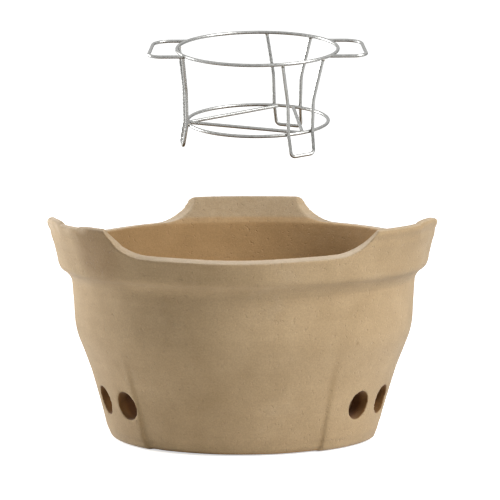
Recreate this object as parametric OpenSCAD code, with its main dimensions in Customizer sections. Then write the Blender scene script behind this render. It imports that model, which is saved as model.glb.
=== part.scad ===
// Clay fire bowl with three rim lugs and six vents, and the bent-wire rack that is set down in it.
// Millimetres, +Z up. The origin is the centre of the foot, on the table, and the front faces -Y.

/* [Bowl rim] */
// Radius of the circle through the lug tips
tip_radius = 170.5; // [140:0.5:220]
// Height of the flat lug tops
lug_height = 192.3; // [150:0.1:240]
// Half the angle that a lug's flat top takes up
lug_half_angle = 17.3; // [8:0.1:25]
// Thickness of a lug at its top
lip_thickness = 6; // [3:0.5:12]
// Width and depth of the bevel along a lug's outer edge
lip_bevel = 3.2; // [0:0.1:5]
// Height of the rim half way between two lugs
rim_height = 168.8; // [130:0.1:220]
// Rise of the rim from there to the bottom of a lug's slope
rim_rise = 2.4; // [0:0.1:8]
// Run of a lug's hollow slope along the rim
slope_run = 38.8; // [20:0.1:60]
// Turn of the slope's cut from the middle of the gap towards the lug
slope_turn = 12; // [0:1:25]
// How many degrees farther the two front lugs reach towards the back
front_lug_reach = 2.5; // [0:0.1:8]
// Fall of the rim towards the outside, in degrees
rim_fall = 5; // [0:0.5:10]
// Radius of the mouth at the rim
mouth_radius = 146.5; // [110:0.5:190]
// Turn of the whole bowl about its axis, from one lug square at the back
bowl_turn = -0.8; // [-30:0.1:30]

/* [Bowl wall] */
// Radius of the wall just under the collar
wall_radius = 149; // [110:0.1:200]
// Height of the wall's top, where it turns out to the collar
collar_height = 137.4; // [100:0.1:190]
// Radius of the collar above its soft lower edge
collar_radius = 161.5; // [120:0.1:210]
// Thickness of the wall
wall_thickness = 14.5; // [8:0.5:25]
// Thickness of the floor
floor_thickness = 18; // [8:0.5:30]
// Radius of the inside corner between floor and wall
floor_corner = 14; // [4:1:30]

/* [Foot, pads and vents] */
// Radius of the foot, measured at the table
foot_radius = 114.5; // [80:0.1:150]
// Rounding of the foot's edge between the pads
foot_rounding = 9; // [1:0.5:12]
// How far the three pads stand proud at the table
pad_depth = 2.4; // [0.5:0.1:6]
// Height at which the pads have faded into the wall
pad_height = 78; // [40:1:120]
// Start of each pad, as an angle from the lug above it
pad_start = -25; // [-50:1:0]
// End of each pad, as an angle from the lug above it
pad_end = 15; // [0:1:50]
// Rounding of a pad's bottom edge
pad_rounding = 6.5; // [0.5:0.5:8]
// Diameter of a vent
vent_diameter = 24; // [10:0.5:40]
// Height of the vents' axes
vent_height = 37.5; // [25:0.5:70]
// Angle of each vent from the lug above it
vent_angle = 8.8; // [5:0.1:20]

/* [Rack] */
// Diameter of the wire
wire_diameter = 3; // [2:0.1:5]
// Radius of the top ring, to the middle of its wire
top_ring_radius = 69.6; // [50:0.1:110]
// Radius of the lower ring, to the middle of its wire
lower_ring_radius = 61.1; // [40:0.1:100]
// Depth of the lower ring under the top ring
ring_drop = 63.6; // [30:0.1:100]
// Depth of the feet under the top ring
foot_drop = 83.5; // [50:0.1:130]
// Reach of the handles from the rack's axis
handle_reach = 94; // [80:0.5:130]
// Distance between the two sides of a handle
handle_width = 66; // [40:0.1:100]
// How much less far a handle reaches at the back than at the front
handle_slant = 4; // [0:0.5:15]
// Distance between a leg's two wires at the top ring
leg_top_width = 42.3; // [20:0.1:60]
// Distance between them at the bend
leg_bend_width = 26.8; // [15:0.1:50]
// Distance between them at the foot
leg_foot_width = 23.7; // [15:0.1:50]
// Depth of the bend under the top ring
bend_drop = 35.9; // [10:0.1:60]
// Turn of the legs from the line of the handles
leg_turn = 5.3; // [-30:1:30]
// Tilt of the whole rack as shown, its front held lower than its back
rack_tilt = 8.6; // [0:0.1:20]

/* [Hidden] */
$fn = 96;
// Place of the top ring's middle as shown, with the rack lifted out above the bowl
rack_place = [13.3, 0, 336.6];
lugs = [90 + bowl_turn, 210 + bowl_turn, 330 + bowl_turn];
wire = wire_diameter / 2;
weld = 0.2; // how far welded wires run into each other
swell = 0.03; // how much thicker the wire is in a bend, where the straight parts run into it
slope_top = tip_radius * sin(60 - lug_half_angle - slope_turn);
slope_foot = slope_top - slope_run;
slope_rise = lug_height - rim_height - rim_rise;
slope_radius = (slope_run * slope_run + slope_rise * slope_rise) / (2 * slope_rise);

// Outside of the wall from foot to collar, as radius and height
wall_line = curve([
    [foot_radius, 0], [foot_radius + 3.1, 10.3], [foot_radius + 7.5, 26], [foot_radius + 13.9, 46.8],
    [wall_radius - 15.5, 62.5], [wall_radius - 9.4, 78.2], [wall_radius - 5.3, 88.6],
    [wall_radius - 3.2, 96.5], [wall_radius - 2.1, 104.3], [wall_radius - 1.2, 119],
    [wall_radius, collar_height],
], 4);
// Soft lower edge of the collar
collar_line = curve([
    [wall_radius, collar_height], [wall_radius + 1, collar_height + 3], [wall_radius + 4.4, collar_height + 8],
    [collar_radius - 4.1, collar_height + 11], [collar_radius - 2.1, collar_height + 13],
    [collar_radius - 0.7, collar_height + 17], [collar_radius, collar_height + 21],
], 3);
// Outside of the flare from collar to lip
flare_line = curve([
    [collar_radius, collar_height + 21], [collar_radius + 1.4, collar_height + 27],
    [collar_radius + 3, collar_height + 33.5], [collar_radius + 5, collar_height + 39.5],
    [tip_radius - 2.7, lug_height - 9.6], [tip_radius - 1.2, lug_height - 6.5], [tip_radius, lug_height - lip_bevel],
], 4);
// Inside of the wall, from the rim down
inner_line = curve([
    [mouth_radius, rim_height + 1.2], [wall_radius - 6.2, 157], [wall_radius - 10.8, 139],
    [wall_radius - wall_thickness, 121.5], [wall_radius - wall_thickness - 1.6, 102],
    [wall_radius - wall_thickness - 5.4, 90], [wall_radius - wall_thickness - 13.8, 69],
    [foot_radius + 12.9 - wall_thickness, 48], [foot_radius + 8.4 - wall_thickness, floor_thickness + floor_corner],
], 5);

clay = [0.72, 0.6, 0.44];
steel = [0.75, 0.76, 0.77];

// Smooth line through the points p, in n steps from each one to the next
function curve(p, n) = [
    for (i = [0 : len(p) - 2], k = [0 : n - 1]) between(
        p[max(i - 1, 0)], p[i], p[i + 1], p[min(i + 2, len(p) - 1)], k / n
    ),
    p[len(p) - 1]
];
function between(a, b, c, d, t) =
    (2 * b + (c - a) * t + (2 * a - 5 * b + 4 * c - d) * t * t + (3 * b - a - 3 * c + d) * t * t * t) / 2;
function arc(centre, radius, from, to, n) =
    [for (i = [0 : n]) centre + radius * [cos(from + (to - from) * i / n), sin(from + (to - from) * i / n)]];
function unit(v) = v / norm(v);
// How far a pad stands proud of the wall at height z
function proud(z) = pad_depth * min(1, max(0, (pad_height - z) / (pad_height - 12)));
// The pad's own outside line, up to where it has faded
function pad_line() = [for (p = wall_line) if (p[1] < pad_height) [p[0] + proud(p[1]), p[1]]];
// A wall line with its lowest corner rounded by r
function rounded_foot(line, r) = concat(
    arc([line[0][0] + 0.15 * r - r, r], r, -90, -8, 6), [for (p = line) if (p[1] > 1.3 * r) p]
);

// Outline of half the bowl, before the rim is cut down between the lugs
module bowl_outline()
    polygon(concat(
        [[0, 0]], rounded_foot(wall_line, foot_rounding),
        [for (i = [1 : len(collar_line) - 1]) collar_line[i]],
        [for (i = [1 : len(flare_line) - 1]) flare_line[i]],
        [[tip_radius - 0.35 * lip_bevel, lug_height - 0.35 * lip_bevel], [tip_radius - lip_bevel, lug_height]],
        [[tip_radius - lip_thickness + 0.6, lug_height], [tip_radius - lip_thickness, lug_height - 0.6]],
        inner_line,
        arc([foot_radius + 6.6 - wall_thickness - floor_corner, floor_thickness + floor_corner], floor_corner, -12, -90, 8),
        [[0, floor_thickness]]
    ));

// What is cut from the rim on one side of a gap, from its middle to a lug
module gap_side(side, reach)
    mirror([0, side < 0 ? 1 : 0, 0])
    intersection() {
        rotate([0, 0, slope_turn - reach]) translate([mouth_radius, 0, rim_height]) rotate([0, rim_fall, 0])
        rotate([90, 0, 90]) translate([0, 0, -40]) linear_extrude(100)
            polygon(concat(
                [[-60, 0], [slope_foot - 20, rim_rise]],
                arc([slope_foot, rim_rise + slope_radius], slope_radius, -90, asin(slope_run / slope_radius) - 90, 14),
                [[slope_top + 12, slope_rise + 20], [-60, slope_rise + 20]]
            ));
        translate([0, -0.01, 0]) cube(400);
    }

// One of the three thicker places round the foot
module pad()
    rotate([0, 0, pad_start]) rotate_extrude(angle = pad_end - pad_start)
        polygon(concat(
            [[foot_radius - 8, 0]], rounded_foot(pad_line(), pad_rounding),
            [[foot_radius + 17, pad_height], [foot_radius, 30]]
        ));

module brazier_body()
    color(clay) difference() {
        union() {
            rotate_extrude() bowl_outline();
            for (a = lugs) rotate([0, 0, a]) pad();
        }
        for (a = lugs) {
            rotate([0, 0, a + 60]) {
                gap_side(1, a == lugs[0] ? front_lug_reach : 0);
                gap_side(-1, a == lugs[2] ? front_lug_reach : 0);
            }
            for (s = [-1, 1]) rotate([0, 0, a + s * vent_angle]) translate([foot_radius - 35, 0, vent_height])
                rotate([0, 90, 0]) cylinder(d = vent_diameter, h = 80);
        }
    }

// Round bar from a to b
module bar(a, b) {
    d = unit(b - a);
    side = unit(cross(d, abs(d[2]) < 0.9 ? [0, 0, 1] : [1, 0, 0]));
    up = cross(d, side);
    multmatrix([
        [side[0], up[0], d[0], a[0]], [side[1], up[1], d[1], a[1]], [side[2], up[2], d[2], a[2]], [0, 0, 0, 1]
    ]) cylinder(r = wire, h = norm(b - a), $fn = 32);
}

// Bend at b on the way from a to c, with radius r to the middle of the wire
module bend(a, b, c, r) {
    d = unit(b - a);
    n = unit(cross(d, c - b));
    out = cross(d, n);
    m = b - d * r * tan(turn(a, b, c) / 2) - out * r;
    multmatrix([
        [out[0], d[0], n[0], m[0]], [out[1], d[1], n[1], m[1]], [out[2], d[2], n[2], m[2]], [0, 0, 0, 1]
    ]) rotate_extrude(angle = turn(a, b, c)) translate([r, 0]) circle(wire + swell, $fn = 32);
}
function turn(a, b, c) = acos(unit(b - a) * unit(c - b));
// How much of a bar the bend at b takes up
function taken(a, b, c, r) = r * tan(turn(a, b, c) / 2);

// Wire bent at each of the points p between its two ends, with the bend radii r
module bent_wire(p, r) {
    last = len(p) - 1;
    for (i = [0 : last - 1]) {
        d = unit(p[i + 1] - p[i]);
        from = i == 0 ? 0 : taken(p[i - 1], p[i], p[i + 1], r[i - 1]) - 0.3;
        to = i == last - 1 ? 0 : taken(p[i], p[i + 1], p[i + 2], r[i]) - 0.3;
        bar(p[i] + d * from, p[i + 1] - d * to);
    }
    for (i = [1 : last - 1]) bend(p[i - 1], p[i], p[i + 1], r[i - 1]);
}

module ring(radius)
    rotate_extrude() translate([radius, 0]) circle(wire, $fn = 32);

// Holds a piece of the rack in its place as shown
module on_rack(drop = 0, turn = 0)
    color(steel) translate(rack_place) rotate([rack_tilt, 0, 0]) translate([0, 0, -drop]) rotate([0, 0, turn])
        children();

module rack_top_ring() on_rack() ring(top_ring_radius);
module rack_lower_ring() on_rack(ring_drop) ring(lower_ring_radius);

// Level loop, with both ends butted to the top ring
module handle() {
    y = handle_width / 2;
    start = sqrt(pow(top_ring_radius, 2) - y * y) + 0.4;
    bent_wire([[start, y, 0], [handle_reach - handle_slant, y, 0], [handle_reach, -y, 0], [start, -y, 0]], [16, 11]);
}

module rack_handle_left() on_rack() mirror([1, 0, 0]) handle();
module rack_handle_right() on_rack() handle();

// U of wire: two uprights from under the top ring, past the outside of the lower ring, to a foot
module leg() {
    y = [leg_top_width, leg_bend_width, leg_foot_width + 1.5, leg_foot_width, leg_foot_width] / 2;
    top = sqrt(pow(top_ring_radius, 2) - y[0] * y[0]);
    hip = sqrt(pow(lower_ring_radius + wire_diameter - weld, 2) - y[2] * y[2]);
    x = [top, hip + 0.3, hip, hip + 3.2];
    z = [-wire + 0.5, -bend_drop, -ring_drop, -foot_drop + wire];
    side = [for (i = [0 : 3]) [x[i], y[i], z[i]]];
    other = [for (i = [3 : -1 : 0]) [x[i], -y[i], z[i]]];
    bent_wire(concat(side, other), [45, 8, 4, 4, 8, 45]);
}

module rack_leg_left() on_rack(turn = 180 + leg_turn) leg();
module rack_leg_rear_right() on_rack(turn = 60 + leg_turn) leg();
module rack_leg_front_right() on_rack(turn = -60 + leg_turn) leg();

// One wire with two sharp bends inside the lower ring, open at its rear right corner
module rack_triangle() {
    corner = lower_ring_radius + weld;
    end = lower_ring_radius - 1;
    on_rack(ring_drop) bent_wire(
        [
            end * [cos(72), sin(72), 0], corner * [cos(180 + leg_turn), sin(180 + leg_turn), 0],
            corner * [cos(-51.6), sin(-51.6), 0], end * [cos(58.6), sin(58.6), 0]
        ],
        [3, 3]
    );
}

brazier_body();
rack_top_ring();
rack_handle_left();
rack_handle_right();
rack_leg_left();
rack_leg_rear_right();
rack_leg_front_right();
rack_lower_ring();
rack_triangle();
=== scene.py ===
import math

import bpy
from mathutils import Euler, Matrix, Vector


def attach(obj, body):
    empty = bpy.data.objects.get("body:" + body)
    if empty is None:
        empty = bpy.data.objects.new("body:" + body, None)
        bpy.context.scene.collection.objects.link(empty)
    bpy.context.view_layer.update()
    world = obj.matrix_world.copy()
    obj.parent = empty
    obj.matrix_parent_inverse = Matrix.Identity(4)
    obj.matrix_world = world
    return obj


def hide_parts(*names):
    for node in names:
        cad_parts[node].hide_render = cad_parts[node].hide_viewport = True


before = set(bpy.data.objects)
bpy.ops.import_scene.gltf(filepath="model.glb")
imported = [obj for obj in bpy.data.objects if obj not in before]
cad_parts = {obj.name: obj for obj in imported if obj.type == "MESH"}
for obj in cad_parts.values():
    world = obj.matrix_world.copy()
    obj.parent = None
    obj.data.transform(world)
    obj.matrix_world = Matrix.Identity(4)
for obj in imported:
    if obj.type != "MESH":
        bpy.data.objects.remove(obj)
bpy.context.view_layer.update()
print("loaded the frame")

mm = 0.001
up = Vector((0.0, 0.0, 1.0))
white = (1.0, 1.0, 1.0)


# The camera stands at the height that the bowl was photographed from

camera = {
    "imageSide": 500,  # pixels
    "pixelsPerMetre": 1150.3,  # at the point it aims at
    "distance": 3.0,
    "elevation": 6.6,  # degrees
    "roll": -0.353,
    "sensorWidth": 36.0,
    "nearest": 0.1,
    "farthest": 60.0,
    "aim": (5.8 * mm, 0.0, 161.5 * mm),
}


def addCamera():
    viewWidth = camera["imageSide"] / camera["pixelsPerMetre"]
    tilt = math.radians(camera["elevation"])
    back = Vector((0.0, -math.cos(tilt), math.sin(tilt)))
    level = Euler((math.pi / 2 - tilt, 0.0, 0.0)).to_matrix()
    turned = level @ Matrix.Rotation(math.radians(camera["roll"]), 3, "Z")
    bpy.ops.object.camera_add(
        location=Vector(camera["aim"]) + back * camera["distance"], rotation=turned.to_euler()
    )
    made = bpy.context.object
    made.data.sensor_width = camera["sensorWidth"]
    made.data.lens = camera["sensorWidth"] * camera["distance"] / viewWidth
    made.data.clip_start = camera["nearest"]
    made.data.clip_end = camera["farthest"]
    bpy.context.scene.camera = made


addCamera()
print("placed the camera")


# Shader nodes, for the floor, the world and the materials


def feed(tree, socket, value):
    if isinstance(value, tuple):
        socket.default_value = (*value, 1.0)
    elif isinstance(value, (int, float)):
        socket.default_value = value
    else:
        tree.links.new(value, socket)


def startMaterial(name):
    material = bpy.data.materials.new(name)
    material.use_nodes = True
    return material, material.node_tree, material.node_tree.nodes["Principled BSDF"]


def addNoise(tree, where, scale, detail, roughness):
    noise = tree.nodes.new("ShaderNodeTexNoise")
    feed(tree, noise.inputs["Vector"], where)
    feed(tree, noise.inputs["Scale"], scale)
    feed(tree, noise.inputs["Detail"], detail)
    feed(tree, noise.inputs["Roughness"], roughness)
    return noise.outputs["Fac"]


def addRange(tree, value, fromMin, fromMax, toMin=0.0, toMax=1.0, smooth=False):
    spread = tree.nodes.new("ShaderNodeMapRange")
    spread.interpolation_type = "SMOOTHSTEP" if smooth else "LINEAR"
    feed(tree, spread.inputs["Value"], value)
    feed(tree, spread.inputs["From Min"], fromMin)
    feed(tree, spread.inputs["From Max"], fromMax)
    feed(tree, spread.inputs["To Min"], toMin)
    feed(tree, spread.inputs["To Max"], toMax)
    return spread.outputs["Result"]


def addMath(tree, operation, first, second=0.0):
    reckoned = tree.nodes.new("ShaderNodeMath")
    reckoned.operation = operation
    feed(tree, reckoned.inputs[0], first)
    feed(tree, reckoned.inputs[1], second)
    return reckoned.outputs[0]


def addProduct(tree, *factors):
    product = factors[0]
    for factor in factors[1:]:
        product = addMath(tree, "MULTIPLY", product, factor)
    return product


# A mix of two numbers
def addBlend(tree, factor, first, second):
    mix = tree.nodes.new("ShaderNodeMix")
    for socket, value in (("Factor", factor), ("A", first), ("B", second)):
        feed(tree, mix.inputs[socket], value)
    return mix.outputs["Result"]


# A mix of two colours, whose sockets are the seventh and eighth of the node's
def addMix(tree, factor, first, second, blend="MIX"):
    mix = tree.nodes.new("ShaderNodeMix")
    mix.data_type = "RGBA"
    mix.blend_type = blend
    for socket, value in ((0, factor), (6, first), (7, second)):
        feed(tree, mix.inputs[socket], value)
    return mix.outputs[2]


def addBump(tree, height, strength, depth, below=None):
    bump = tree.nodes.new("ShaderNodeBump")
    feed(tree, bump.inputs["Height"], height)
    feed(tree, bump.inputs["Strength"], strength)
    feed(tree, bump.inputs["Distance"], depth * mm)
    if below:
        feed(tree, bump.inputs["Normal"], below)
    return bump.outputs["Normal"]


def addVector(tree, operation, first, second=None):
    reckoned = tree.nodes.new("ShaderNodeVectorMath")
    reckoned.operation = operation
    feed(tree, reckoned.inputs[0], first)
    if second:
        reckoned.inputs[1].default_value = second
    return reckoned.outputs


def splitAxes(tree, vector):
    split = tree.nodes.new("ShaderNodeSeparateXYZ")
    feed(tree, split.inputs[0], vector)
    return split.outputs


# Floor, lamps and world

studio = {
    "floorSize": 30.0,
    "floorGap": 0.4,  # millimetres under the foot
    "floorColour": (0.93, 0.93, 0.93),
    "floorGlow": (0.62, 0.9),  # for the camera only, near the bowl and far from it
    "glowReach": (0.5, 2.5),
    "worldLight": 0.255,
    "mirroredWall": 0.56,  # what bright metal sees level with it, where the ceiling is 1
    "wallTop": (0.1, 0.6),  # where that turns to ceiling, as a ray's rise over its length
    "lampAim": (0.0, 0.0, 0.15),
}

lamps = {
    "rightSoftbox": {"azimuth": 62.0, "elevation": 37.0, "distance": 2.2, "size": 1.1, "power": 48.5},
    "leftRearSoftbox": {"azimuth": -119.0, "elevation": 15.0, "distance": 2.2, "size": 0.8, "power": 55.0},
}


def addLamp(name, lamp):
    turn = math.radians(lamp["azimuth"])
    rise = math.radians(lamp["elevation"])
    away = Vector((math.sin(turn) * math.cos(rise), -math.cos(turn) * math.cos(rise), math.sin(rise)))
    bpy.ops.object.light_add(type="AREA", location=Vector(studio["lampAim"]) + away * lamp["distance"])
    made = bpy.context.object
    made.name = name
    made.rotation_euler = away.to_track_quat("Z", "Y").to_euler()
    made.data.size = lamp["size"]
    made.data.energy = lamp["power"]


def addFloor():
    bpy.ops.object.select_all(action="DESELECT")
    bpy.ops.mesh.primitive_plane_add(
        size=studio["floorSize"], location=(0.0, 0.0, -studio["floorGap"] * mm)
    )
    floor = bpy.context.object
    floor.name = "floor"
    material, tree, shader = startMaterial("paleFloor")
    feed(tree, shader.inputs["Base Color"], studio["floorColour"])
    feed(tree, shader.inputs["Roughness"], 1.0)
    feed(tree, shader.inputs["Specular IOR Level"], 0.0)
    feed(tree, shader.inputs["Emission Color"], white)
    where = tree.nodes.new("ShaderNodeTexCoord").outputs["Object"]
    away = addVector(tree, "LENGTH", where)["Value"]
    glow = addRange(tree, away, *studio["glowReach"], *studio["floorGlow"])
    rays = tree.nodes.new("ShaderNodeLightPath").outputs
    feed(tree, shader.inputs["Emission Strength"], addProduct(tree, rays["Is Camera Ray"], glow))
    floor.data.materials.append(material)


def setWorld():
    world = bpy.data.worlds.new("studioWorld")
    world.use_nodes = True
    bpy.context.scene.world = world
    tree = world.node_tree
    rays = tree.nodes.new("ShaderNodeLightPath").outputs
    direction = splitAxes(tree, tree.nodes.new("ShaderNodeTexCoord").outputs["Generated"])
    ceiling = addRange(tree, direction["Z"], *studio["wallTop"], studio["mirroredWall"], smooth=True)
    strength = addBlend(tree, rays["Is Glossy Ray"], studio["worldLight"], ceiling)
    strength = addBlend(tree, rays["Is Camera Ray"], strength, 1.0)
    background = tree.nodes["Background"]
    feed(tree, background.inputs["Strength"], strength)
    feed(tree, background.inputs["Color"], white)


for lampName, lampValues in lamps.items():
    addLamp(lampName, lampValues)
addFloor()
setWorld()
bpy.context.scene.view_settings.view_transform = "Standard"
print("set the floor, lamps and world")


# Drawing in edit mode

touching = 0.001 * mm  # how close two vertices are before they are one


def selectOnly(piece):
    bpy.ops.object.select_all(action="DESELECT")
    piece.select_set(True)
    bpy.context.view_layer.objects.active = piece


def editAll():
    bpy.ops.object.mode_set(mode="EDIT")
    bpy.ops.mesh.select_all(action="SELECT")


def drawChain(points):
    bpy.ops.object.select_all(action="DESELECT")
    bpy.ops.mesh.primitive_plane_add(size=mm)
    editAll()
    bpy.ops.mesh.merge(type="CENTER")
    bpy.ops.transform.translate(value=points[0])
    for here, there in zip(points, points[1:]):
        bpy.ops.mesh.extrude_region_move(TRANSFORM_OT_translate={"value": there - here})
    bpy.ops.mesh.select_all(action="SELECT")


# Spin turns left-handed when there is no window
def spinAbout(centre, axis, degrees, steps):
    bpy.ops.mesh.spin(steps=steps, dupli=False, angle=-math.radians(degrees), center=centre, axis=axis)


def finishShape(name):
    bpy.ops.mesh.select_all(action="SELECT")
    bpy.ops.mesh.remove_doubles(threshold=touching)
    bpy.ops.mesh.normals_make_consistent(inside=False)
    bpy.ops.object.mode_set(mode="OBJECT")
    made = bpy.context.object
    made.name = name
    made.data.name = name
    return made


def copyOf(piece, name):
    twin = piece.copy()
    twin.data = piece.data.copy()
    twin.name = name
    twin.data.name = name
    bpy.context.collection.objects.link(twin)
    return twin


def settle(piece):
    selectOnly(piece)
    bpy.ops.object.transform_apply(location=True, rotation=True, scale=True)


def turnedCopy(piece, name, degrees, mirrored=False):
    twin = copyOf(piece, name)
    turn = Matrix.Rotation(math.radians(degrees), 4, "Z")
    twin.matrix_world = turn @ Matrix.Scale(-1, 4, (0, 1, 0)) if mirrored else turn
    settle(twin)
    if mirrored:
        bpy.ops.object.mode_set(mode="EDIT")
        finishShape(name)
    return twin


def finishModifier(piece, modifier):
    bpy.context.view_layer.objects.active = piece
    bpy.ops.object.modifier_apply(modifier=modifier.name)


def combine(piece, tool, operation):
    joint = piece.modifiers.new("joint", "BOOLEAN")
    joint.operation = operation
    joint.solver = "EXACT"
    joint.object = tool
    finishModifier(piece, joint)
    bpy.data.objects.remove(tool)


# Smooth line through the points, in steps from each one to the next
def smoothLine(points, steps):
    line = []
    last = len(points) - 1
    for i in range(last):
        a, b, c, d = (Vector(points[k]) for k in (max(i - 1, 0), i, i + 1, min(i + 2, last)))
        run = c - a
        bow = 2 * a - 5 * b + 4 * c - d
        twist = 3 * b - a - 3 * c + d
        for k in range(steps):
            t = k / steps
            line.append((2 * b + run * t + bow * t**2 + twist * t**3) / 2)
    line.append(Vector(points[last]))
    return line


def arcLine(centre, radius, start, stop, steps):
    turns = [math.radians(start + (stop - start) * i / steps) for i in range(steps + 1)]
    return [Vector(centre) + radius * Vector((math.cos(turn), math.sin(turn))) for turn in turns]


# Clay bowl, in millimetres and degrees. The first values are those of the part's source.

bowl = {
    "turn": -0.8,
    "lugs": (90, 210, 330),
    "halfGap": 60,  # from a lug to the middle of the gap beside it
    "tipRadius": 170.5,
    "lugHeight": 192.3,
    "lugHalfAngle": 17.3,
    "lipThickness": 6.0,
    "lipBevel": 3.2,
    "rimHeight": 168.8,
    "rimRise": 2.4,
    "slopeRun": 38.8,
    "slopeTurn": 12.0,
    "frontLugReach": 2.5,
    "rimFall": 5.0,
    "mouthRadius": 146.5,
    "wallRadius": 149.0,
    "collarHeight": 137.4,
    "collarRadius": 161.5,
    "wallThickness": 14.5,
    "floorThickness": 18.0,
    "floorCorner": 14.0,
    "footRadius": 114.5,
    "footRounding": 9.0,
    "padDepth": 2.4,
    "padHeight": 78.0,
    "padStart": -25.0,
    "padEnd": 15.0,
    "padRounding": 6.5,
    "ventDiameter": 24.0,
    "ventHeight": 37.5,
    "ventAngle": 8.8,
    # points of the outline, as what each adds to a radius and to a height
    "overFoot": ((0, 0), (3.1, 10.3), (7.5, 26), (13.9, 46.8)),
    "overWall": ((-15.5, 62.5), (-9.4, 78.2), (-5.3, 88.6), (-3.2, 96.5), (-2.1, 104.3), (-1.2, 119)),
    "underCollar": ((0, 0), (1, 3), (4.4, 8)),
    "roundCollar": ((-4.1, 11), (-2.1, 13), (-0.7, 17), (0, 21)),
    "overCollar": ((0, 21), (1.4, 27), (3, 33.5), (5, 39.5)),
    "underTip": ((-2.7, -9.6), (-1.2, -6.5)),
    "insideMouth": (0, 1.2),
    "insideTop": ((-6.2, 157), (-10.8, 139)),
    "insideWall": ((0, 121.5), (-1.6, 102), (-5.4, 90), (-13.8, 69)),
    "insideFoot": ((12.9, 48),),
    "insideCorner": 8.4,  # the same for the floor's corner, where it starts
    "cornerArc": 6.6,  # and for the middle of its arc
    "wallSteps": 4,  # from each point to the next
    "collarSteps": 3,
    "flareSteps": 4,
    "insideSteps": 5,
    "cornerEnds": (-12, -90, 8),  # an arc's first and last degree, and its steps
    "edgeEnds": (-90, -8, 6),
    "edgeLean": 0.15,  # share of the foot's rounding by which its edge leans out
    "edgeTop": 1.3,  # share of it above which the wall's own line goes on
    "bevelShare": 0.35,  # share of the bevel that is cut at its middle
    "lipCorner": 0.6,
    # a pad's back is inside the wall
    "padFadeStart": 12,  # height
    "padSink": 8,
    "padBack": 17,
    "padBackStart": 30,
    "padSteps": 24,
    # the tool that cuts a slope starts inside the bowl and reaches beyond the rim
    "slopeEnd": -60,
    "slopeLead": 20,
    "slopeMore": (12, 20),
    "slopeSteps": 14,
    "cutterStart": -40,
    "cutterLength": 100,
    "middleGap": 0.01,
    # the tool that cuts a vent
    "ventSides": 64,
    "ventLength": 80,
    "ventMiddle": 5,  # outside the foot's radius
    # how it is meshed
    "spinSteps": 200,
    "voxel": 1.3,
    "softening": (0.5, 3),  # share and rounds
    "triangles": 190000,
    "waviness": 0.5,  # of the hand-pressed surface
    "waveSize": 0.04,  # metres
    "waveDetail": 2,
    # raised ends of the front lugs and their outer corners, as azimuth, radius and height,
    # then how far each is pulled outwards and up, and how far that reaches
    "pulledTips": (
        (196.3, 167.0, 192.3, 0.0, 2.7, 17.0),
        (191.4, 170.0, 190.0, 0.6, 0.5, 8.0),
        (223.5, 167.0, 192.3, 0.0, 1.7, 20.0),
        (-19.6, 167.0, 192.3, 0.0, 2.1, 16.0),
        (-10.6, 170.0, 190.0, 0.2, 0.4, 8.0),
    ),
    "pulledShare": 0.28,  # of that reach, moved as one
    # soft ends of the pads
    "endWidth": 1.7,  # degrees to each side
    "endLeast": 7.0,  # least height
    "endDepth": 6,  # inside the foot's radius
    "endSoftening": (0.5, 4),
}


def shifted(radius, height, offsets):
    return [(radius + out, height + rise) for out, rise in offsets]


def wallLine():
    wall = bowl["wallRadius"]
    points = shifted(bowl["footRadius"], 0, bowl["overFoot"]) + shifted(wall, 0, bowl["overWall"])
    return smoothLine(points + [(wall, bowl["collarHeight"])], bowl["wallSteps"])


def collarLine():
    low = bowl["collarHeight"]
    points = shifted(bowl["wallRadius"], low, bowl["underCollar"])
    points += shifted(bowl["collarRadius"], low, bowl["roundCollar"])
    return smoothLine(points, bowl["collarSteps"])


def flareLine():
    tip, top = bowl["tipRadius"], bowl["lugHeight"]
    points = shifted(bowl["collarRadius"], bowl["collarHeight"], bowl["overCollar"])
    points += shifted(tip, top, bowl["underTip"]) + [(tip, top - bowl["lipBevel"])]
    return smoothLine(points, bowl["flareSteps"])


def insideLine():
    wall, thick, foot = bowl["wallRadius"], bowl["wallThickness"], bowl["footRadius"]
    points = shifted(bowl["mouthRadius"], bowl["rimHeight"], [bowl["insideMouth"]])
    points += shifted(wall, 0, bowl["insideTop"])
    points += shifted(wall - thick, 0, bowl["insideWall"])
    points += shifted(foot - thick, 0, bowl["insideFoot"])
    points += [(foot - thick + bowl["insideCorner"], bowl["floorThickness"] + bowl["floorCorner"])]
    return smoothLine(points, bowl["insideSteps"])


def roundedFoot(line, rounding):
    start = (line[0].x + bowl["edgeLean"] * rounding - rounding, rounding)
    edge = arcLine(start, rounding, *bowl["edgeEnds"])
    return edge + [point for point in line if point.y > bowl["edgeTop"] * rounding]


def upright(points):
    return [Vector((point[0], 0.0, point[1])) * mm for point in points]


def spinBowl():
    tip, top, bevel = bowl["tipRadius"], bowl["lugHeight"], bowl["lipBevel"]
    part, small = bowl["bevelShare"] * bevel, bowl["lipCorner"]
    inner = tip - bowl["lipThickness"]
    corner, floor = bowl["floorCorner"], bowl["floorThickness"]
    cornerRadius = bowl["footRadius"] + bowl["cornerArc"] - bowl["wallThickness"] - corner
    outline = [Vector((0, 0))] + roundedFoot(wallLine(), bowl["footRounding"])
    outline += collarLine()[1:] + flareLine()[1:]
    outline += [(tip - part, top - part), (tip - bevel, top)]
    outline += [(inner + small, top), (inner, top - small)] + insideLine()
    outline += arcLine((cornerRadius, floor + corner), corner, *bowl["cornerEnds"]) + [(0, floor)]
    drawChain(upright(outline))
    spinAbout((0, 0, 0), up, 360, bowl["spinSteps"])
    return finishShape("clayBowl")


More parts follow.
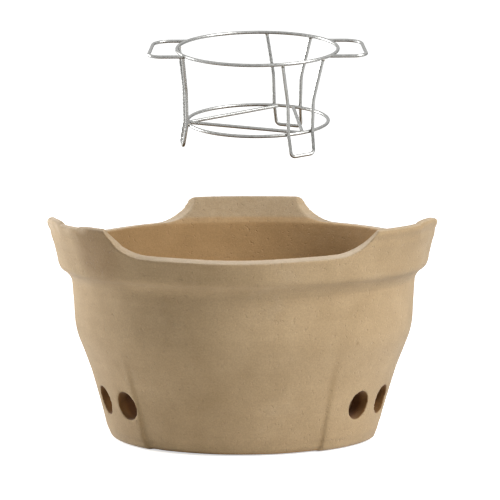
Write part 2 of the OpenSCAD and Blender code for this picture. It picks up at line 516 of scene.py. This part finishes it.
def makePad():
    height, fadeStart, depth = bowl["padHeight"], bowl["padFadeStart"], bowl["padDepth"]
    wall = [point for point in wallLine() if point.y < height]
    fade = [depth * min(1, (height - point.y) / (height - fadeStart)) for point in wall]
    proud = [Vector((point.x + more, point.y)) for point, more in zip(wall, fade)]
    foot = bowl["footRadius"]
    outline = [(foot - bowl["padSink"], 0)] + roundedFoot(proud, bowl["padRounding"])
    drawChain(upright(outline + [(foot + bowl["padBack"], height), (foot, bowl["padBackStart"])]))
    bpy.ops.mesh.edge_face_add()
    spinAbout((0, 0, 0), up, bowl["padEnd"] - bowl["padStart"], bowl["padSteps"])
    return finishShape("pad")


# What is cut from the rim on one side of a gap, from its middle to a lug
def makeSlopeCutter(reach):
    half = bowl["lugHalfAngle"]
    run, rim, end = bowl["slopeRun"], bowl["rimRise"], bowl["slopeEnd"]
    more, over = bowl["slopeMore"]
    top = bowl["tipRadius"] * math.sin(math.radians(bowl["halfGap"] - half - bowl["slopeTurn"]))
    foot = top - run
    rise = bowl["lugHeight"] - bowl["rimHeight"] - rim
    radius = (run**2 + rise**2) / (2 * rise)
    steep = math.degrees(math.asin(run / radius))
    outline = [Vector((end, 0)), Vector((foot - bowl["slopeLead"], rim))]
    outline += arcLine((foot, rim + radius), radius, -90, steep - 90, bowl["slopeSteps"])
    outline += [Vector((top + more, rise + over)), Vector((end, rise + over))]
    drawChain([Vector((bowl["cutterStart"] * mm, point.x * mm, point.y * mm)) for point in outline])
    bpy.ops.mesh.edge_face_add()
    bpy.ops.mesh.extrude_region_move(TRANSFORM_OT_translate={"value": (bowl["cutterLength"] * mm, 0, 0)})
    cutter = finishShape("slopeCutter")
    fall = Matrix.Rotation(math.radians(bowl["rimFall"]), 4, "Y")
    place = Matrix.Translation(Vector((bowl["mouthRadius"], 0, bowl["rimHeight"])) * mm)
    cutter.matrix_world = Matrix.Rotation(math.radians(bowl["slopeTurn"] - reach), 4, "Z") @ place @ fall
    settle(cutter)
    editAll()
    bpy.ops.mesh.bisect(
        plane_co=(0, -bowl["middleGap"] * mm, 0), plane_no=(0, 1, 0), use_fill=True, clear_inner=True
    )
    return finishShape("slopeCutter")


def makeVentCutter():
    bpy.ops.object.select_all(action="DESELECT")
    bpy.ops.mesh.primitive_cylinder_add(
        vertices=bowl["ventSides"], radius=bowl["ventDiameter"] / 2 * mm, depth=bowl["ventLength"] * mm,
        location=Vector((bowl["footRadius"] + bowl["ventMiddle"], 0, bowl["ventHeight"])) * mm,
        rotation=(0, math.pi / 2, 0),
    )
    cutter = bpy.context.object
    settle(cutter)
    return cutter


def meshBowl(piece):
    remesh = piece.modifiers.new("evenMesh", "REMESH")
    remesh.mode = "VOXEL"
    remesh.voxel_size = bowl["voxel"] * mm
    finishModifier(piece, remesh)
    smooth = piece.modifiers.new("softEdges", "SMOOTH")
    smooth.factor, smooth.iterations = bowl["softening"]
    finishModifier(piece, smooth)
    pressed = bpy.data.textures.new("handPressed", "CLOUDS")
    pressed.noise_scale = bowl["waveSize"]
    pressed.noise_depth = bowl["waveDetail"]
    waves = piece.modifiers.new("waves", "DISPLACE")
    waves.texture = pressed
    waves.texture_coords = "LOCAL"
    waves.strength = bowl["waviness"] * mm
    finishModifier(piece, waves)
    now = sum(len(face.vertices) - 2 for face in piece.data.polygons)
    thin = piece.modifiers.new("fewerFaces", "DECIMATE")
    thin.ratio = min(1.0, bowl["triangles"] / now)
    finishModifier(piece, thin)
    selectOnly(piece)
    bpy.ops.object.shade_smooth()


def selectWhere(piece, chosen):
    selectOnly(piece)
    bpy.ops.object.mode_set(mode="EDIT")
    bpy.ops.mesh.select_all(action="DESELECT")
    bpy.ops.object.mode_set(mode="OBJECT")
    for vertex in piece.data.vertices:
        vertex.select = chosen(vertex.co)
    bpy.ops.object.mode_set(mode="EDIT")


def pullTip(piece, azimuth, radius, height, outwards, upwards, reach):
    turn = math.radians(azimuth + bowl["turn"])
    away = Vector((math.cos(turn), math.sin(turn), 0.0))
    tip = (away * radius + up * height) * mm
    selectWhere(piece, lambda place: (place - tip).length < bowl["pulledShare"] * reach * mm)
    bpy.ops.transform.translate(
        value=(away * outwards + up * upwards) * mm, use_proportional_edit=True,
        proportional_edit_falloff="SPHERE", proportional_size=reach * mm,
    )
    bpy.ops.object.mode_set(mode="OBJECT")


def isNearPadEnd(place, ends):
    outside = (bowl["footRadius"] - bowl["endDepth"]) * mm
    if not bowl["endLeast"] * mm < place.z < bowl["padHeight"] * mm:
        return False
    if math.hypot(place.x, place.y) < outside:
        return False
    azimuth = math.degrees(math.atan2(place.y, place.x))
    return any(abs((azimuth - end + 180) % 360 - 180) < bowl["endWidth"] for end in ends)


def softenPadEnds(piece):
    ends = [lug + bowl["turn"] + bowl[end] for lug in bowl["lugs"] for end in ("padStart", "padEnd")]
    selectWhere(piece, lambda place: isNearPadEnd(place, ends))
    share, rounds = bowl["endSoftening"]
    bpy.ops.mesh.vertices_smooth(factor=share, repeat=rounds)
    bpy.ops.object.mode_set(mode="OBJECT")


# The two front lugs reach farther towards the back, where a tool of their own cuts their slopes
def buildBowl():
    piece = spinBowl()
    pad = makePad()
    slope = makeSlopeCutter(0)
    farSlope = makeSlopeCutter(bowl["frontLugReach"])
    vent = makeVentCutter()
    backLug, leftLug, rightLug = bowl["lugs"]
    for lug in (backLug, leftLug, rightLug):
        azimuth = lug + bowl["turn"]
        gap = azimuth + bowl["halfGap"]
        combine(piece, turnedCopy(pad, "padCopy", azimuth + bowl["padStart"]), "UNION")
        ahead = farSlope if lug == backLug else slope
        behind = farSlope if lug == rightLug else slope
        combine(piece, turnedCopy(ahead, "slopeCopy", gap), "DIFFERENCE")
        combine(piece, turnedCopy(behind, "slopeCopy", gap, mirrored=True), "DIFFERENCE")
        for side in (-1, 1):
            combine(piece, turnedCopy(vent, "ventCopy", azimuth + side * bowl["ventAngle"]), "DIFFERENCE")
    for tool in (pad, slope, farSlope, vent):
        bpy.data.objects.remove(tool)
    print("shaped the bowl")
    meshBowl(piece)
    for pulled in bowl["pulledTips"]:
        pullTip(piece, *pulled)
    softenPadEnds(piece)
    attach(piece, "brazier")
    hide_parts("brazier_body")
    return piece


clayBowl = buildBowl()
print("meshed the bowl with", len(clayBowl.data.polygons), "faces")


# Wire rack, in millimetres and degrees. The first values are those of the part's source.

rack = {
    "place": (13.3, 0.0, 336.6),
    "tilt": 8.6,  # its front held lower than its back
    "wire": 3.0,
    "topRingRadius": 69.6,
    "lowerRingRadius": 61.1,
    "ringDrop": 63.6,
    "footDrop": 83.5,
    "handleReach": 94.0,
    "handleWidth": 66.0,
    "handleSlant": 4.0,
    "handleGap": 0.4,  # from the ring's middle line to the handle's end
    "handleBends": (16, 11),
    "legTopWidth": 42.3,
    "legBendWidth": 26.8,
    "legFootWidth": 23.7,
    "legSpread": 0.75,  # how much wider each side is at the lower ring than at the foot
    "legBends": (45, 8, 4, 4, 8, 45),
    "legSink": 0.5,  # of the leg's ends into the top ring
    "bendDrop": 35.9,
    "bendLean": 0.3,
    "footReach": 3.2,
    "legTurn": 5.3,
    "legAngles": (180, 60, -60),
    "triangleEnds": (72.0, 58.6),
    "triangleCorner": -51.6,
    "triangleInset": 1,
    "triangleBends": (3, 3),
    "weld": 0.2,
    # how it is meshed
    "sides": 16,
    "ringSteps": 160,
    "bendStep": 9,
    "fewestSteps": 4,
    "endRounding": 0.35,
    "endShare": 0.6,  # of a wire's radius at its very end
    "smoothAngle": 40,
}


def runWire(step):
    bpy.ops.mesh.extrude_region_move(TRANSFORM_OT_translate={"value": step * mm})


def addCircle(radius, fill, place, turn):
    bpy.ops.object.select_all(action="DESELECT")
    bpy.ops.mesh.primitive_circle_add(
        vertices=rack["sides"], radius=radius * mm, fill_type=fill, location=place * mm, rotation=turn
    )
    bpy.ops.object.transform_apply(location=True, rotation=True, scale=True)
    editAll()


def startWire(place, heading):
    share = rack["endShare"]
    addCircle(rack["wire"] / 2 * share, "NGON", place, heading.to_track_quat("Z", "Y").to_euler())
    runWire(heading * rack["endRounding"])
    bpy.ops.transform.resize(value=(1 / share, 1 / share, 1 / share))


def endWire(name, heading):
    share = rack["endShare"]
    runWire(heading * rack["endRounding"])
    bpy.ops.transform.resize(value=(share, share, share))
    return finishShape(name)


# One wire through the points, each corner bent to its radius
def bendWire(name, points, radii):
    points = [Vector(point) for point in points]
    heading = (points[1] - points[0]).normalized()
    startWire(points[0], heading)
    here = points[0] + heading * rack["endRounding"]
    for corner, after, radius in zip(points[1:], points[2:], radii):
        nextHeading = (after - corner).normalized()
        turn = heading.angle(nextHeading)
        taken = radius * math.tan(turn / 2)
        bendStart = corner - heading * taken
        runWire(bendStart - here)
        axis = heading.cross(nextHeading).normalized()
        centre = bendStart + axis.cross(heading) * radius
        steps = max(rack["fewestSteps"], round(math.degrees(turn) / rack["bendStep"]))
        spinAbout(centre * mm, axis, math.degrees(turn), steps)
        here = corner + nextHeading * taken
        heading = nextHeading
    runWire(points[-1] - heading * rack["endRounding"] - here)
    return endWire(name, heading)


def ringWire(name, radius, drop):
    addCircle(rack["wire"] / 2, "NOTHING", Vector((radius, 0, -drop)), (math.pi / 2, 0, 0))
    spinAbout((0, 0, 0), up, 360, rack["ringSteps"])
    return finishShape(name)


# How far out a point of a ring is, half a width to the side of the ring's middle
def ringDepth(radius, half):
    return math.sqrt(radius**2 - half**2)


def handleWire(name):
    half, reach = rack["handleWidth"] / 2, rack["handleReach"]
    start = ringDepth(rack["topRingRadius"], half) + rack["handleGap"]
    corners = [(reach - rack["handleSlant"], half, 0), (reach, -half, 0)]
    return bendWire(name, [(start, half, 0)] + corners + [(start, -half, 0)], rack["handleBends"])


def legWire(name):
    wire, foot = rack["wire"], rack["legFootWidth"] / 2
    halves = [rack["legTopWidth"] / 2, rack["legBendWidth"] / 2, foot + rack["legSpread"], foot]
    top = ringDepth(rack["topRingRadius"], halves[0])
    hip = ringDepth(rack["lowerRingRadius"] + wire - rack["weld"], halves[2])
    reaches = [top, hip + rack["bendLean"], hip, hip + rack["footReach"]]
    drops = [wire / 2 - rack["legSink"], rack["bendDrop"], rack["ringDrop"], rack["footDrop"] - wire / 2]
    side = [(x, y, -z) for x, y, z in zip(reaches, halves, drops)]
    other = [(x, -y, z) for x, y, z in reversed(side)]
    return bendWire(name, side + other, rack["legBends"])


def triangleWire(name):
    corner = rack["lowerRingRadius"] + rack["weld"]
    end = rack["lowerRingRadius"] - rack["triangleInset"]
    first, last = rack["triangleEnds"]
    spots = [(end, first), (corner, 180 + rack["legTurn"]), (corner, rack["triangleCorner"]), (end, last)]
    points = []
    for radius, azimuth in spots:
        turn = math.radians(azimuth)
        points.append((radius * math.cos(turn), radius * math.sin(turn), -rack["ringDrop"]))
    return bendWire(name, points, rack["triangleBends"])


def hangOnRack(piece):
    piece.location = Vector(rack["place"]) * mm
    piece.rotation_euler = (math.radians(rack["tilt"]), 0.0, 0.0)
    settle(piece)
    bpy.ops.object.shade_smooth_by_angle(angle=math.radians(rack["smoothAngle"]))
    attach(piece, "rack")


def buildRack():
    handle = handleWire("handleRight")
    leg = legWire("legPattern")
    made = {
        "rack_top_ring": ringWire("topRing", rack["topRingRadius"], 0),
        "rack_lower_ring": ringWire("lowerRing", rack["lowerRingRadius"], rack["ringDrop"]),
        "rack_handle_left": turnedCopy(handle, "handleLeft", 180, mirrored=True),
        "rack_handle_right": handle,
    }
    legNames = (
        ("rack_leg_left", "legLeft"), ("rack_leg_rear_right", "legRearRight"),
        ("rack_leg_front_right", "legFrontRight"),
    )
    for (node, name), angle in zip(legNames, rack["legAngles"]):
        made[node] = turnedCopy(leg, name, angle + rack["legTurn"])
    made["rack_triangle"] = triangleWire("ringTriangle")
    bpy.data.objects.remove(leg)
    for node, piece in made.items():
        hangOnRack(piece)
        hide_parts(node)
    return made


rackWires = buildRack()
print("bent", len(rackWires), "wires")


# Weld beads, in millimetres

bead = {
    "radius": 1.55,
    "stretch": (1.3, 0.95, 0.85),
    "subdivisions": 3,
    "lumps": 0.09,
    "lumpSeed": 5,
    "evening": 0.5,
    # how far a bead is from the middle of the wire that it is on
    "underTopRing": 0.2,
    "overLowerRing": 0.6,
    "insideLowerRing": 1.2,
    "overTriangle": 0.5,
}


def makeBead():
    bpy.ops.object.select_all(action="DESELECT")
    bpy.ops.mesh.primitive_ico_sphere_add(subdivisions=bead["subdivisions"], radius=bead["radius"] * mm)
    editAll()
    bpy.ops.transform.resize(value=bead["stretch"])
    bpy.ops.transform.vertex_random(offset=bead["lumps"] * mm, seed=bead["lumpSeed"])
    bpy.ops.mesh.vertices_smooth(factor=bead["evening"])
    return finishShape("weldBead")


# Spots on a ring, the same half width to the side at each turn, as radius, azimuth and height
def spotsOnRing(radius, half, height, turns):
    depth = ringDepth(radius, half)
    aside = math.degrees(math.atan2(half, depth))
    return [(math.hypot(depth, half), turn + aside, height) for turn in turns]


# Where wire is welded to wire, with heights from the top ring's middle
def weldSpots():
    wire, low = rack["wire"] / 2, -rack["ringDrop"]
    ring, lowerRing = rack["topRingRadius"], rack["lowerRingRadius"]
    legs = [turn + rack["legTurn"] for turn in rack["legAngles"]]
    spots = []
    for side in (-1, 1):
        half = side * rack["legTopWidth"] / 2
        spots += spotsOnRing(ring, half, -wire - bead["underTopRing"], legs)
        half = side * (rack["legFootWidth"] / 2 + rack["legSpread"])
        spots += spotsOnRing(lowerRing + wire, half, low + bead["overLowerRing"], legs)
        spots += spotsOnRing(ring + wire, side * rack["handleWidth"] / 2, 0.0, (0, 180))
    corners = (180 + rack["legTurn"], rack["triangleCorner"], *rack["triangleEnds"])
    inner = lowerRing - bead["insideLowerRing"]
    return spots + [(inner, turn, low + bead["overTriangle"]) for turn in corners]


def buildWelds():
    pattern = makeBead()
    beads = []
    for radius, azimuth, height in weldSpots():
        beads.append(copyOf(pattern, "weldCopy"))
        beads[-1].location = (radius * mm, 0.0, height * mm)
        settle(beads[-1])
        beads[-1].rotation_euler = (0.0, 0.0, math.radians(azimuth))
        settle(beads[-1])
    bpy.data.objects.remove(pattern)
    for piece in beads:
        piece.select_set(True)
    bpy.ops.object.join()
    piece = bpy.context.object
    piece.name = "weldBeads"
    hangOnRack(piece)
    return piece


weldBeads = buildWelds()
print("set the welds")


# Unglazed clay

clay = {
    "dark": (0.345, 0.242, 0.130),
    "light": (0.445, 0.322, 0.186),
    # lighter clay, partly wear and partly painted highlight on the rim's tops and the lugs' outer edges
    "wornAndHighlit": (0.60, 0.475, 0.335),
    "pale": (0.47, 0.37, 0.255),
    "roughness": 0.9,
    "shine": 0.25,
    "dust": 0.16,
    "dustRoughness": 0.45,
    # share of the clay's colour that is left
    # painted shade in the vent bores, where little light reaches
    "paintedVentShade": (0.40, 0.26, 0.125),  # in the vents
    "shadedFloor": (0.56, 0.50, 0.43),  # low inside the bowl
    "warmInside": (1.04, 0.92, 0.76),
    # painted shade down both ends of each pad, in the crease of its step
    "paintedPadEndShade": (0.90, 0.885, 0.85),
    # painted shade in the pits, which are dents in the bump as well
    "paintedPitShade": (0.78, 0.75, 0.70),
    # painted shade on the left lug's flare, which faces down and away from the lamps
    "paintedLugShade": (0.77, 0.72, 0.66),
    # noise, as scale, detail and roughness
    "ringNoise": (12.0, 4.0, 0.6),  # rings left by the wheel
    "ringStretch": (1.0, 1.0, 14.0),
    "patchNoise": (7.0, 3.0, 0.55),
    "mottleNoise": (45.0, 4.0, 0.6),
    "bloomNoise": (21.0, 5.0, 0.7),
    "rubbingNoise": (160.0, 4.0, 0.7),
    "grainNoise": (750.0, 2.0, 0.7),
    "poreNoise": (300.0, 1.0, 0.5),
    "lumpNoise": (140.0, 4.0, 0.6),
    # how it is read, as from and to, and what they become
    "ringTone": (0.3, 0.7, -0.09, 0.09),
    "patchTone": (0.3, 0.7),
    "mottleTone": (0.3, 0.7, -0.22, 0.22),
    "bloomShare": (0.58, 0.80, 0.0, 0.35),
    "rubbingShare": (0.35, 0.6, 0.37, 0.63),
    "grainShade": (0.35, 0.65, 0.91, 1.08),
    "grainSpread": (0.3, 0.7),
    "grainRoughness": (-0.06, 0.05),
    "poreShare": (0.66, 0.74),
    # bumps, as strength and depth in millimetres
    "ringBump": (0.28, 0.8),
    "lumpBump": (0.4, 0.5),
    "grainBump": (0.4, 0.3),
    "poreBump": (0.6, 0.6),
    # where each mask starts and where it is full, in millimetres, degrees or as a slope
    "rimHeights": (150.0, 168.0),
    "rimSlopes": (0.35, 0.9),
    "ventEdge": (0.9, 0.1),
    "lowRadii": (116.0, 112.0),
    "lowHeights": (85.0, 40.0),
    "insideRadii": (117.5, 115.5),
    "endAngles": (2.6, 0.3),
    "endFade": (98.0, 70.0),
    "endGrowth": (0.0, 55.0, 0.35, 1.0),  # heights, then shares
    # radii grow with height by these shares, from this height
    "lowSpread": 0.3,
    "insideSpread": 0.22,
    "spreadStart": 20.0,
    # spots, as azimuth in degrees, height and radius in millimetres
    # painted shade on the left lug's flare, as a spot
    "lugShadeSpots": ((-138.0, 174.0, 40.0),),
    # painted highlight along the lugs' outer top edges, mixed with wear
    "highlitWornSpots": (
        (193.0, 193.0, 16.0), (201.0, 197.0, 16.0), (209.0, 198.0, 15.0), (217.0, 199.0, 14.0),
        (-9.5, 192.0, 15.0),
    ),
    "pits": (
        (-100.5, 127.0, 3.4), (-49.0, 94.0, 3.0), (-49.4, 80.0, 4.0), (-120.0, 60.0, 2.4),
        (128.0, 96.0, 3.0), (24.0, 84.0, 2.6),
    ),
    "spotCore": 0.3,  # share of a spot's radius that is full
    # how the outside's radius is found for a spot, below and above this height
    "spotHeight": 104,
    "spotSlopes": (0.22, 0.23),
}


def inMetres(values):
    return [value * mm for value in values]


def addAzimuth(tree, axes):
    return addMath(tree, "DEGREES", addMath(tree, "ARCTAN2", axes["Y"], axes["X"]))


# How far round it is from the nearest of three places, one of which is given
def foldAzimuth(tree, axes, place):
    away = addMath(tree, "SUBTRACT", addAzimuth(tree, axes), place)
    return addMath(tree, "PINGPONG", away, bowl["halfGap"])


# How far painted shade darkens the clay, from 0 outside to 1 in the vent bores, where little light reaches
def ventShadeMask(tree, axes, radius):
    fromLug = foldAzimuth(tree, axes, bowl["lugs"][0] + bowl["turn"])
    aside = addMath(tree, "RADIANS", addMath(tree, "SUBTRACT", fromLug, bowl["ventAngle"]))
    across = addProduct(tree, radius, addMath(tree, "SINE", aside))
    height = addMath(tree, "SUBTRACT", axes["Z"], bowl["ventHeight"] * mm)
    squares = [addProduct(tree, part, part) for part in (across, height)]
    away = addMath(tree, "SQRT", addMath(tree, "ADD", *squares))
    bore = bowl["ventDiameter"] / 2
    return addRange(tree, away, *inMetres(bore + more for more in clay["ventEdge"]), smooth=True)


# The radius less what a leaning wall has gained with height
def straightened(tree, axes, radius, spread):
    gained = addMath(tree, "SUBTRACT", axes["Z"], clay["spreadStart"] * mm)
    return addMath(tree, "SUBTRACT", radius, addProduct(tree, gained, spread))


# The inside of the bowl near its floor
def lowInsideMask(tree, axes, radius):
    inward = straightened(tree, axes, radius, clay["lowSpread"])
    inside = addRange(tree, inward, *inMetres(clay["lowRadii"]))
    return addProduct(tree, inside, addRange(tree, axes["Z"], *inMetres(clay["lowHeights"]), smooth=True))


# The whole inside, which glows with the light between its walls
def insideMask(tree, axes, radius):
    inward = straightened(tree, axes, radius, clay["insideSpread"])
    return addRange(tree, inward, *inMetres(clay["insideRadii"]), smooth=True)


# Painted shade: soft dark bands down both ends of each pad, where the pad's step meets the wall
def padEndShadeMask(tree, axes):
    middle = bowl["lugs"][0] + bowl["turn"] + (bowl["padStart"] + bowl["padEnd"]) / 2
    half = (bowl["padEnd"] - bowl["padStart"]) / 2
    away = addMath(tree, "ABSOLUTE", addMath(tree, "SUBTRACT", foldAzimuth(tree, axes, middle), half))
    band = addRange(tree, away, *clay["endAngles"], smooth=True)
    low, high, least, most = clay["endGrowth"]
    growth = addRange(tree, axes["Z"], low * mm, high * mm, least, most)
    fade = addRange(tree, axes["Z"], *inMetres(clay["endFade"]), smooth=True)
    return addProduct(tree, band, growth, fade)


# Round spots on the outside of the clay
def spotMask(tree, where, spots):
    below, above = clay["spotSlopes"]
    middle = clay["spotHeight"]
    deepest = 0.0
    for azimuth, height, size in spots:
        radius = bowl["wallRadius"] - below * max(0.0, middle - height) + above * max(0.0, height - middle)
        turn = math.radians(azimuth)
        place = (radius * mm * math.cos(turn), radius * mm * math.sin(turn), height * mm)
        away = addVector(tree, "DISTANCE", where, place)["Value"]
        pit = addRange(tree, away, size * mm, clay["spotCore"] * size * mm, smooth=True)
        deepest = addMath(tree, "MAXIMUM", deepest, pit)
    return deepest


# Painted highlight on the rim's upward faces and the lugs' outer edges, where light falls on them, mixed
# with wear where hands and pots have rubbed them
def rubbedAndLitMask(tree, where, axes, normal):
    upward = addRange(tree, splitAxes(tree, normal)["Z"], *clay["rimSlopes"], smooth=True)
    onRim = addRange(tree, axes["Z"], *inMetres(clay["rimHeights"]), smooth=True)
    rubbing = addRange(tree, addNoise(tree, where, *clay["rubbingNoise"]), *clay["rubbingShare"])
    chafedAndLit = addProduct(tree, spotMask(tree, where, clay["highlitWornSpots"]), rubbing)
    return addMath(tree, "MAXIMUM", addProduct(tree, upward, onRim, rubbing), chafedAndLit)


def clayColour(tree, where, axes, normal, rings):
    patches = addRange(tree, addNoise(tree, where, *clay["patchNoise"]), *clay["patchTone"])
    mottle = addRange(tree, addNoise(tree, where, *clay["mottleNoise"]), *clay["mottleTone"])
    tone = addMath(tree, "ADD", patches, mottle)
    tone = addMath(tree, "ADD", tone, addRange(tree, rings, *clay["ringTone"]))
    colour = addMix(tree, tone, clay["dark"], clay["light"])
    bloom = addRange(tree, addNoise(tree, where, *clay["bloomNoise"]), *clay["bloomShare"])
    colour = addMix(tree, bloom, colour, clay["pale"])
    # painted shade on the left lug's flare
    colour = addMix(tree, spotMask(tree, where, clay["lugShadeSpots"]), colour, clay["paintedLugShade"], "MULTIPLY")
    # painted highlight on upward faces and lug edges, mixed with wear
    return addMix(tree, rubbedAndLitMask(tree, where, axes, normal), colour, clay["wornAndHighlit"])


def clayMaterial():
    material, tree, shader = startMaterial("unglazedClay")
    spot = tree.nodes.new("ShaderNodeTexCoord").outputs
    where = spot["Object"]
    axes = splitAxes(tree, where)
    radius = addVector(tree, "LENGTH", addVector(tree, "MULTIPLY", where, (1.0, 1.0, 0.0))[0])["Value"]
    stretched = addVector(tree, "MULTIPLY", where, clay["ringStretch"])[0]
    rings = addNoise(tree, stretched, *clay["ringNoise"])
    grain = addNoise(tree, where, *clay["grainNoise"])
    pits = spotMask(tree, where, clay["pits"])
    inside = insideMask(tree, axes, radius)
    outside = addMath(tree, "SUBTRACT", 1.0, inside)

    colour = clayColour(tree, where, axes, spot["Normal"], rings)
    grey = addRange(tree, grain, *clay["grainShade"])
    shade = tree.nodes.new("ShaderNodeCombineColor")
    for socket in shade.inputs:
        feed(tree, socket, grey)
    colour = addMix(tree, 1.0, colour, shade.outputs[0], "MULTIPLY")
    for mask, left in (
        # painted shade in the vent bores
        (ventShadeMask(tree, axes, radius), clay["paintedVentShade"]),
        (lowInsideMask(tree, axes, radius), clay["shadedFloor"]),
        (inside, clay["warmInside"]),
        # painted shade at the pad ends, on the outside only
        (addProduct(tree, padEndShadeMask(tree, axes), outside), clay["paintedPadEndShade"]),
        # painted shade in the pits
        (pits, clay["paintedPitShade"]),
    ):
        colour = addMix(tree, mask, colour, left, "MULTIPLY")
    feed(tree, shader.inputs["Base Color"], colour)

    smoothest, roughest = (clay["roughness"] + more for more in clay["grainRoughness"])
    feed(tree, shader.inputs["Roughness"], addRange(tree, grain, *clay["grainSpread"], smoothest, roughest))
    feed(tree, shader.inputs["Specular IOR Level"], clay["shine"])
    feed(tree, shader.inputs["Sheen Weight"], clay["dust"])
    feed(tree, shader.inputs["Sheen Roughness"], clay["dustRoughness"])

    pores = addRange(tree, addNoise(tree, where, *clay["poreNoise"]), *clay["poreShare"])
    hollows = addProduct(tree, addMath(tree, "MAXIMUM", pores, pits), -1.0)
    turned = addBump(tree, rings, *clay["ringBump"])
    lumpy = addBump(tree, addNoise(tree, where, *clay["lumpNoise"]), *clay["lumpBump"], turned)
    grainy = addBump(tree, grain, *clay["grainBump"], lumpy)
    feed(tree, shader.inputs["Normal"], addBump(tree, hollows, *clay["poreBump"], grainy))
    return material


# Drawn wire and the welds on it

steel = {
    "dark": (0.35, 0.35, 0.336),
    "light": (0.45, 0.45, 0.434),
    "roughness": 0.3,
    "streakScale": 420.0,
    "scratchScale": 1800.0,
}

weld = {
    "dark": (0.14, 0.13, 0.115),
    "light": (0.36, 0.34, 0.30),
    "roughness": 0.42,
    "streakScale": 420.0,
    "scratchScale": 1800.0,
}

drawnFinish = {
    "streakDetail": (3.0, 0.6),
    "streakShare": (0.35, 0.65),
    "scratchDetail": (2.0, 0.5),
    "scratchBump": (0.12, 0.05),
    "roughnessSpread": (-0.05, 0.07),
}


# Streaks of drawn wire, as a mask and a surface
def streakGroup():
    group = bpy.data.node_groups.new("drawnStreaks", "ShaderNodeTree")
    for name, way, kind in (
        ("Streak Scale", "INPUT", "NodeSocketFloat"), ("Scratch Scale", "INPUT", "NodeSocketFloat"),
        ("Streaks", "OUTPUT", "NodeSocketFloat"), ("Normal", "OUTPUT", "NodeSocketVector"),
    ):
        group.interface.new_socket(name=name, in_out=way, socket_type=kind)
    scales = group.nodes.new("NodeGroupInput").outputs
    given = group.nodes.new("NodeGroupOutput").inputs
    where = group.nodes.new("ShaderNodeTexCoord").outputs["Object"]
    streaks = addNoise(group, where, scales["Streak Scale"], *drawnFinish["streakDetail"])
    feed(group, given["Streaks"], addRange(group, streaks, *drawnFinish["streakShare"]))
    scratches = addNoise(group, where, scales["Scratch Scale"], *drawnFinish["scratchDetail"])
    feed(group, given["Normal"], addBump(group, scratches, *drawnFinish["scratchBump"]))
    return group


def metalMaterial(name, group, metal):
    material, tree, shader = startMaterial(name)
    drawn = tree.nodes.new("ShaderNodeGroup")
    drawn.node_tree = group
    feed(tree, drawn.inputs["Streak Scale"], metal["streakScale"])
    feed(tree, drawn.inputs["Scratch Scale"], metal["scratchScale"])
    streaks = drawn.outputs["Streaks"]
    smoothest, roughest = (metal["roughness"] + more for more in drawnFinish["roughnessSpread"])
    feed(tree, shader.inputs["Base Color"], addMix(tree, streaks, metal["dark"], metal["light"]))
    feed(tree, shader.inputs["Roughness"], addRange(tree, streaks, 0.0, 1.0, smoothest, roughest))
    feed(tree, shader.inputs["Normal"], drawn.outputs["Normal"])
    feed(tree, shader.inputs["Metallic"], 1.0)
    return material


def coat(piece, material):
    piece.data.materials.clear()
    piece.data.materials.append(material)


coat(clayBowl, clayMaterial())
drawnStreaks = streakGroup()
drawnSteel = metalMaterial("drawnSteel", drawnStreaks, steel)
for wirePiece in rackWires.values():
    coat(wirePiece, drawnSteel)
coat(weldBeads, metalMaterial("weldMetal", drawnStreaks, weld))
print("made the materials")
